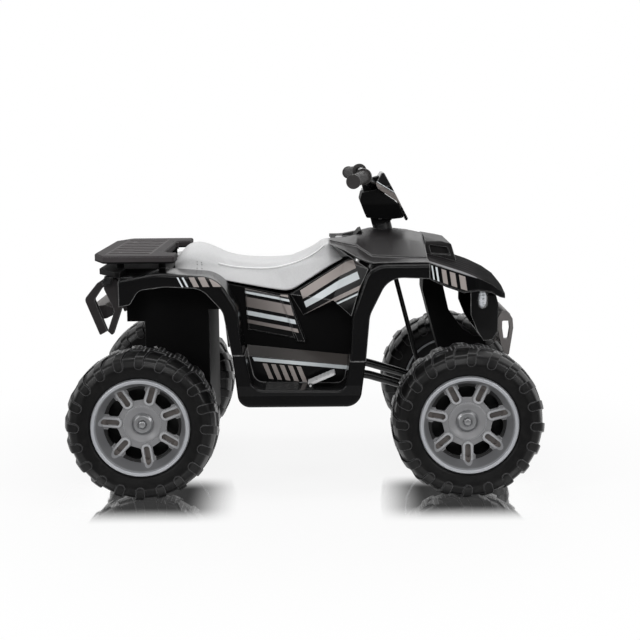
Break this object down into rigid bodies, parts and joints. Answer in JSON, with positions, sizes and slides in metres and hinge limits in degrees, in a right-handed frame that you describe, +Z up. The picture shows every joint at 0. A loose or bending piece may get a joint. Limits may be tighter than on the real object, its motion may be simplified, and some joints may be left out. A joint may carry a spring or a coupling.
{
  "type": "kids quad bike",
  "caption": "Ride-on electric quad bike for children with lugged tyres, spoked rims, padded saddle, load rack, footwells, handlebar steering, foot pedal and drive motors.",
  "frame": {"origin": "on the ground, midway between the axles and on the centre plane", "axes": "+X forward along the bike, +Y to the rider's left, +Z up"},
  "size_m": [1.145, 0.6838, 0.7843],
  "materials": {
    "tyre": "matte",
    "rim_silver": "satin silver",
    "zinc_steel": "zinc plated",
    "black_steel": "gloss paint",
    "gloss_black": "gloss",
    "satin_black": "satin",
    "hood_grey": "matte",
    "trim_grey": "matte",
    "grip_rubber": "matte",
    "seat_leather": "grained",
    "pedal_silver": "satin",
    "motor_can": "plain",
    "lens_clear": "clear"
  },
  "bodies": {
    "chassis": {"rear_axle_nuts": "zinc_steel", "rear_axle": "zinc_steel", "kingpin_bolts": "zinc_steel", "rack_screws": "zinc_steel", "front_subframe": "black_steel", "rear_fender_left": "gloss_black", "rear_fender_right": "gloss_black", "front_fender_left": "gloss_black", "front_fender_right": "gloss_black", "footwell_left": "gloss_black", "footwell_right": "gloss_black", "side_panels": "gloss_black", "knee_panels": "gloss_black", "hood_vent": "gloss_black", "front_fascia": "gloss_black", "rear_deck": "gloss_black", "centre_tub": "satin_black", "front_tower": "satin_black", "dash_panel": "satin_black", "gearboxes": "satin_black", "column_bushes": "satin_black", "battery": "satin_black", "hood": "hood_grey", "nose_cover": "hood_grey", "rear_rack": "trim_grey", "rear_bumper": "trim_grey", "front_bumper": "trim_grey", "seat": "seat_leather", "drive_motors": "motor_can", "head_lamps": "lens_clear"},
    "steering": {"steering_column": "black_steel", "handlebar": "black_steel", "grip_left": "grip_rubber", "grip_right": "grip_rubber", "neck_block": "satin_black", "handlebar_cowl": "satin_black", "cowl_visor": "gloss_black"},
    "tie": {"tie_rod": "black_steel"},
    "knuckle_left": {"knuckle_left": "black_steel", "axle_nut_front_left": "zinc_steel"},
    "knuckle_right": {"knuckle_right": "black_steel", "axle_nut_front_right": "zinc_steel"},
    "pedal": {"foot_pedal": "pedal_silver"},
    "start": {"start_button": "pedal_silver"},
    "rocker": {"direction_rocker": "satin_black"},
    "horn": {"horn_button": "pedal_silver"},
    "wheel_front_left": {"tyre_front_left": "tyre", "rim_front_left": "rim_silver", "hub_cap_front_left": "rim_silver"},
    "wheel_front_right": {"tyre_front_right": "tyre", "rim_front_right": "rim_silver", "hub_cap_front_right": "rim_silver"},
    "wheel_rear_left": {"tyre_rear_left": "tyre", "rim_rear_left": "rim_silver", "hub_cap_rear_left": "rim_silver"},
    "wheel_rear_right": {"tyre_rear_right": "tyre", "rim_rear_right": "rim_silver", "hub_cap_rear_right": "rim_silver"}
  },
  "joints": [
    {"name": "steer", "type": "hinge", "parent": "chassis", "child": "steering", "pos_m": [0.2, 0, 0.63], "axis": [-0.2497, 0, 0.9683], "range_deg": [-25, 25]},
    {"name": "tie_swing", "type": "hinge", "parent": "steering", "child": "tie", "pos_m": [0.25483, 0, 0.1691], "axis": [-0.2497, 0, 0.9683], "range_deg": [-25, 25]},
    {"name": "knuckle_left_turn", "type": "hinge", "parent": "chassis", "child": "knuckle_left", "pos_m": [0.39, 0.165, 0.1825], "axis": [0, 0, 1], "range_deg": [-25, 25]},
    {"name": "knuckle_right_turn", "type": "hinge", "parent": "chassis", "child": "knuckle_right", "pos_m": [0.39, -0.165, 0.1825], "axis": [0, 0, 1], "range_deg": [-25, 25]},
    {"name": "wheel_front_left_spin", "type": "hinge", "parent": "knuckle_left", "child": "wheel_front_left", "pos_m": [0.39, 0.2675, 0.1825], "axis": [0, 1, 0], "continuous": true},
    {"name": "wheel_front_right_spin", "type": "hinge", "parent": "knuckle_right", "child": "wheel_front_right", "pos_m": [0.39, -0.2675, 0.1825], "axis": [0, 1, 0], "continuous": true},
    {"name": "wheel_rear_left_spin", "type": "hinge", "parent": "chassis", "child": "wheel_rear_left", "pos_m": [-0.39, 0.2675, 0.1825], "axis": [0, 1, 0], "continuous": true},
    {"name": "wheel_rear_right_spin", "type": "hinge", "parent": "chassis", "child": "wheel_rear_right", "pos_m": [-0.39, -0.2675, 0.1825], "axis": [0, 1, 0], "continuous": true},
    {"name": "pedal_press", "type": "hinge", "parent": "chassis", "child": "pedal", "pos_m": [0.014, -0.2265, 0.266], "axis": [0, 1, 0], "range_deg": [0, 12], "stiffness_Nm_per_rad": 1.2, "springref_deg": -8.59},
    {"name": "start_press", "type": "slide", "parent": "chassis", "child": "start", "axis": [0, 0, -1], "range_m": [0, 0.0025], "stiffness_N_per_m": 400, "springref_m": -0.002},
    {"name": "horn_press", "type": "slide", "parent": "steering", "child": "horn", "axis": [0, 0, -1], "range_m": [0, 0.0025], "stiffness_N_per_m": 400, "springref_m": -0.002},
    {"name": "direction_rock", "type": "hinge", "parent": "chassis", "child": "rocker", "pos_m": [0.088, 0.029, 0.598], "axis": [0, 1, 0], "range_deg": [-7, 7]}
  ],
  "couplings": [
    {"joint": "knuckle_left_turn", "follows": "steer", "ratio": 1},
    {"joint": "knuckle_right_turn", "follows": "steer", "ratio": 1},
    {"joint": "tie_swing", "follows": "steer", "ratio": -1}
  ]
}
